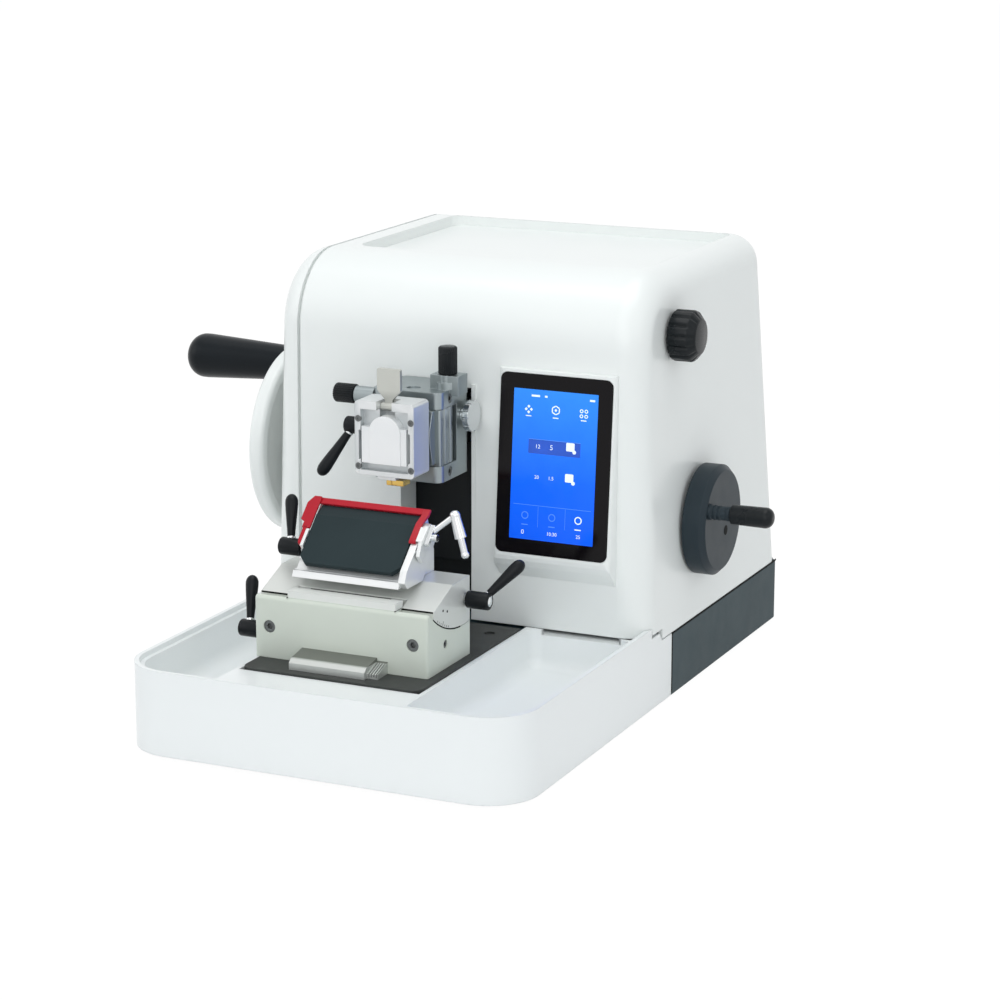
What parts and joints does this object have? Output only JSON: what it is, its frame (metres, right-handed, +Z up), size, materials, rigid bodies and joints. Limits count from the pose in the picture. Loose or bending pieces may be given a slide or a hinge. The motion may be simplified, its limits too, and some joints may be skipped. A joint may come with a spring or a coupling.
{
  "type": "rotary microtome",
  "caption": "Desk-top rotary microtome: a handwheel drives the specimen head up and down past a clamped blade, over a removable waste tray.",
  "frame": {"origin": "on the bench under the middle of the whole outline, grip and crank included", "axes": "+Z up, -Y towards the user at the blade, +X to the viewer's right, where the coarse-feed wheel is"},
  "size_m": [0.48, 0.509, 0.317],
  "materials": {
    "base_casting": "satin",
    "rubber_feet": "satin",
    "holder_plate": "satin",
    "housing_shell": "glossy",
    "left_side_cover": "glossy",
    "rear_panel": "satin",
    "power_inlet": "satin",
    "frame_column": "satin",
    "guide_rails": "brushed",
    "shaft_bearings": "brushed",
    "shaft_bushes": "satin",
    "cover_screws": "brushed",
    "slot_apron": "satin",
    "screen_glass": "glossy",
    "display_panel": "glossy",
    "control_board": "satin",
    "power_supply": "satin",
    "waste_tray": "glossy",
    "rocker_switch": "satin",
    "handwheel": "glossy",
    "hub_cap": "glossy",
    "main_shaft": "brushed",
    "crank_disc": "brushed",
    "crank_roller": "brushed",
    "grip_spindle": "brushed",
    "handwheel_grip": "satin",
    "carriage": "satin",
    "yoke_plate": "brushed",
    "slot_cover": "satin",
    "feed_motor": "satin",
    "feed_screw": "brushed",
    "feed_slide": "brushed",
    "head_carrier": "satin",
    "head_screws": "brushed",
    "pan_block": "satin",
    "clamp_body": "satin",
    "clamp_screws": "brushed",
    "brass_stop": "satin",
    "clamp_jaw": "satin",
    "paddle_lever": "satin",
    "tilt_knob": "satin",
    "pan_knob": "satin",
    "lock_dial": "satin",
    "head_clamp_lever": "satin",
    "holder_base": "satin",
    "holder_screws": "brushed",
    "base_clamp_pad": "satin",
    "base_lock_lever": "satin",
    "tilt_segment": "satin",
    "segment_lever": "satin",
    "blade_holder": "satin",
    "blade": "polished",
    "pressure_plate": "satin",
    "blade_lever": "satin",
    "finger_guard": "satin",
    "guard_lever": "satin",
    "coarse_wheel": "satin",
    "coarse_shaft": "brushed",
    "coarse_grip": "satin",
    "balance_knob": "satin"
  },
  "bodies": {
    "base": {"base_casting": "base_casting", "rubber_feet": "rubber_feet", "holder_plate": "holder_plate", "housing_shell": "housing_shell", "left_side_cover": "left_side_cover", "rear_panel": "rear_panel", "power_inlet": "power_inlet", "frame_column": "frame_column", "guide_rails": "guide_rails", "shaft_bearings": "shaft_bearings", "shaft_bushes": "shaft_bushes", "cover_screws": "cover_screws", "slot_apron": "slot_apron", "screen_glass": "screen_glass", "display_panel": "display_panel", "control_board": "control_board", "power_supply": "power_supply"},
    "tray": {"waste_tray": "waste_tray"},
    "power_switch": {"rocker_switch": "rocker_switch"},
    "drive": {"handwheel": "handwheel", "hub_cap": "hub_cap", "main_shaft": "main_shaft", "crank_disc": "crank_disc", "crank_roller": "crank_roller", "grip_spindle": "grip_spindle"},
    "main_grip": {"handwheel_grip": "handwheel_grip"},
    "lift": {"carriage": "carriage", "yoke_plate": "yoke_plate", "slot_cover": "slot_cover", "feed_motor": "feed_motor"},
    "lead_screw": {"feed_screw": "feed_screw"},
    "advance": {"feed_slide": "feed_slide", "head_carrier": "head_carrier", "head_screws": "head_screws"},
    "pan": {"pan_block": "pan_block"},
    "clamp": {"clamp_body": "clamp_body", "clamp_screws": "clamp_screws", "brass_stop": "brass_stop"},
    "jaw": {"clamp_jaw": "clamp_jaw"},
    "paddle": {"paddle_lever": "paddle_lever"},
    "tilt_adjuster": {"tilt_knob": "tilt_knob"},
    "pan_adjuster": {"pan_knob": "pan_knob"},
    "dial": {"lock_dial": "lock_dial"},
    "head_lever": {"head_clamp_lever": "head_clamp_lever"},
    "holder": {"holder_base": "holder_base", "holder_screws": "holder_screws", "base_clamp_pad": "base_clamp_pad"},
    "holder_lever": {"base_lock_lever": "base_lock_lever"},
    "segment": {"tilt_segment": "tilt_segment"},
    "tilt_lever": {"segment_lever": "segment_lever"},
    "blade_carrier": {"blade_holder": "blade_holder", "blade": "blade"},
    "press": {"pressure_plate": "pressure_plate"},
    "press_lever": {"blade_lever": "blade_lever"},
    "guard": {"finger_guard": "finger_guard", "guard_lever": "guard_lever"},
    "coarse_drive": {"coarse_wheel": "coarse_wheel", "coarse_shaft": "coarse_shaft"},
    "coarse_handle": {"coarse_grip": "coarse_grip"},
    "balance": {"balance_knob": "balance_knob"}
  },
  "joints": [
    {"name": "tray_slide", "type": "slide", "parent": "base", "child": "tray", "axis": [0, -1, 0], "range_m": [0, 0.12]},
    {"name": "switch_rock", "type": "hinge", "parent": "base", "child": "power_switch", "pos_m": [0.096, 0.246, 0.031], "axis": [1, 0, 0], "range_deg": [0, 12]},
    {"name": "handwheel_turn", "type": "hinge", "parent": "base", "child": "drive", "pos_m": [-0.146, 0.047, 0.1625], "axis": [1, 0, 0], "continuous": true},
    {"name": "grip_spin", "type": "hinge", "parent": "drive", "child": "main_grip", "pos_m": [-0.178, 0.047, 0.2195], "axis": [1, 0, 0], "continuous": true},
    {"name": "carriage_stroke", "type": "slide", "parent": "base", "child": "lift", "axis": [0, 0, 1], "range_m": [-0.07, 0]},
    {"name": "lead_screw_turn", "type": "hinge", "parent": "lift", "child": "lead_screw", "pos_m": [0.009, 0.04, 0.204], "axis": [0, 1, 0], "range_deg": [0, 5040]},
    {"name": "specimen_feed", "type": "slide", "parent": "lift", "child": "advance", "axis": [0, -1, 0], "range_m": [0, 0.028]},
    {"name": "head_pan", "type": "hinge", "parent": "advance", "child": "pan", "pos_m": [0.009, -0.068, 0.204], "axis": [0, 0, 1], "range_deg": [-8, 8]},
    {"name": "head_tilt", "type": "hinge", "parent": "pan", "child": "clamp", "pos_m": [0.009, -0.086, 0.207], "axis": [-1, 0, 0], "range_deg": [-8, 8]},
    {"name": "jaw_slide", "type": "slide", "parent": "clamp", "child": "jaw", "axis": [0, 0, -1], "range_m": [0, 0.0035]},
    {"name": "paddle_tip", "type": "hinge", "parent": "clamp", "child": "paddle", "pos_m": [0.009, -0.106, 0.2295], "axis": [-1, 0, 0], "range_deg": [0, 25]},
    {"name": "tilt_knob_turn", "type": "hinge", "parent": "advance", "child": "tilt_adjuster", "pos_m": [0.032, -0.06, 0.25], "axis": [0, 0, 1], "range_deg": [-720, 720]},
    {"name": "pan_knob_turn", "type": "hinge", "parent": "advance", "child": "pan_adjuster", "pos_m": [-0.038, -0.075, 0.229], "axis": [1, 0, 0], "range_deg": [-720, 720]},
    {"name": "dial_turn", "type": "hinge", "parent": "advance", "child": "dial", "pos_m": [0.042, -0.045, 0.214], "axis": [1, 0, 0], "range_deg": [0, 90]},
    {"name": "head_lever_turn", "type": "hinge", "parent": "clamp", "child": "head_lever", "pos_m": [-0.025, -0.095, 0.211], "axis": [-1, 0, 0], "range_deg": [0, 60]},
    {"name": "holder_slide", "type": "slide", "parent": "base", "child": "holder", "axis": [0, -1, 0], "range_m": [0, 0.025]},
    {"name": "holder_lever_turn", "type": "hinge", "parent": "holder", "child": "holder_lever", "pos_m": [-0.068, -0.17, 0.076], "axis": [1, 0, 0], "range_deg": [0, 50]},
    {"name": "segment_tilt", "type": "hinge", "parent": "holder", "child": "segment", "pos_m": [0.011, -0.133, 0.162], "axis": [1, 0, 0], "range_deg": [-5, 5]},
    {"name": "tilt_lever_turn", "type": "hinge", "parent": "segment", "child": "tilt_lever", "pos_m": [0.087, -0.128, 0.104], "axis": [1, 0, 0], "range_deg": [0, 50]},
    {"name": "blade_carrier_shift", "type": "slide", "parent": "segment", "child": "blade_carrier", "axis": [1, 0, 0], "range_m": [-0.012, 0.012]},
    {"name": "press_open", "type": "hinge", "parent": "blade_carrier", "child": "press", "pos_m": [0.009, -0.16933, 0.12765], "axis": [1, 0, 0], "range_deg": [0, 3]},
    {"name": "press_lever_turn", "type": "hinge", "parent": "blade_carrier", "child": "press_lever", "pos_m": [-0.048, -0.15, 0.133], "axis": [1, 0, 0], "range_deg": [0, 60]},
    {"name": "guard_fold", "type": "hinge", "parent": "blade_carrier", "child": "guard", "pos_m": [0.009, -0.158, 0.142], "axis": [1, 0, 0], "range_deg": [0, 100]},
    {"name": "coarse_wheel_turn", "type": "hinge", "parent": "base", "child": "coarse_drive", "pos_m": [0.182, 0.0755, 0.125], "axis": [1, 0, 0], "range_deg": [0, 5040]},
    {"name": "coarse_grip_spin", "type": "hinge", "parent": "coarse_drive", "child": "coarse_handle", "pos_m": [0.222, 0.04722, 0.13771], "axis": [1, 0, 0], "continuous": true},
    {"name": "balance_turn", "type": "hinge", "parent": "base", "child": "balance", "pos_m": [0.179, 0.0285, 0.27], "axis": [1, 0, 0], "range_deg": [-900, 900]}
  ],
  "couplings": [
    {"joint": "specimen_feed", "follows": "coarse_wheel_turn", "m_per_rad": 0.000318},
    {"joint": "lead_screw_turn", "follows": "coarse_wheel_turn", "ratio": 1},
    {"joint": "head_pan", "follows": "pan_knob_turn", "ratio": 0.0111},
    {"joint": "head_tilt", "follows": "tilt_knob_turn", "ratio": 0.0111},
    {"joint": "paddle_tip", "follows": "jaw_slide", "rad_per_m": 124.6},
    {"joint": "press_open", "follows": "press_lever_turn", "ratio": 0.05}
  ]
}
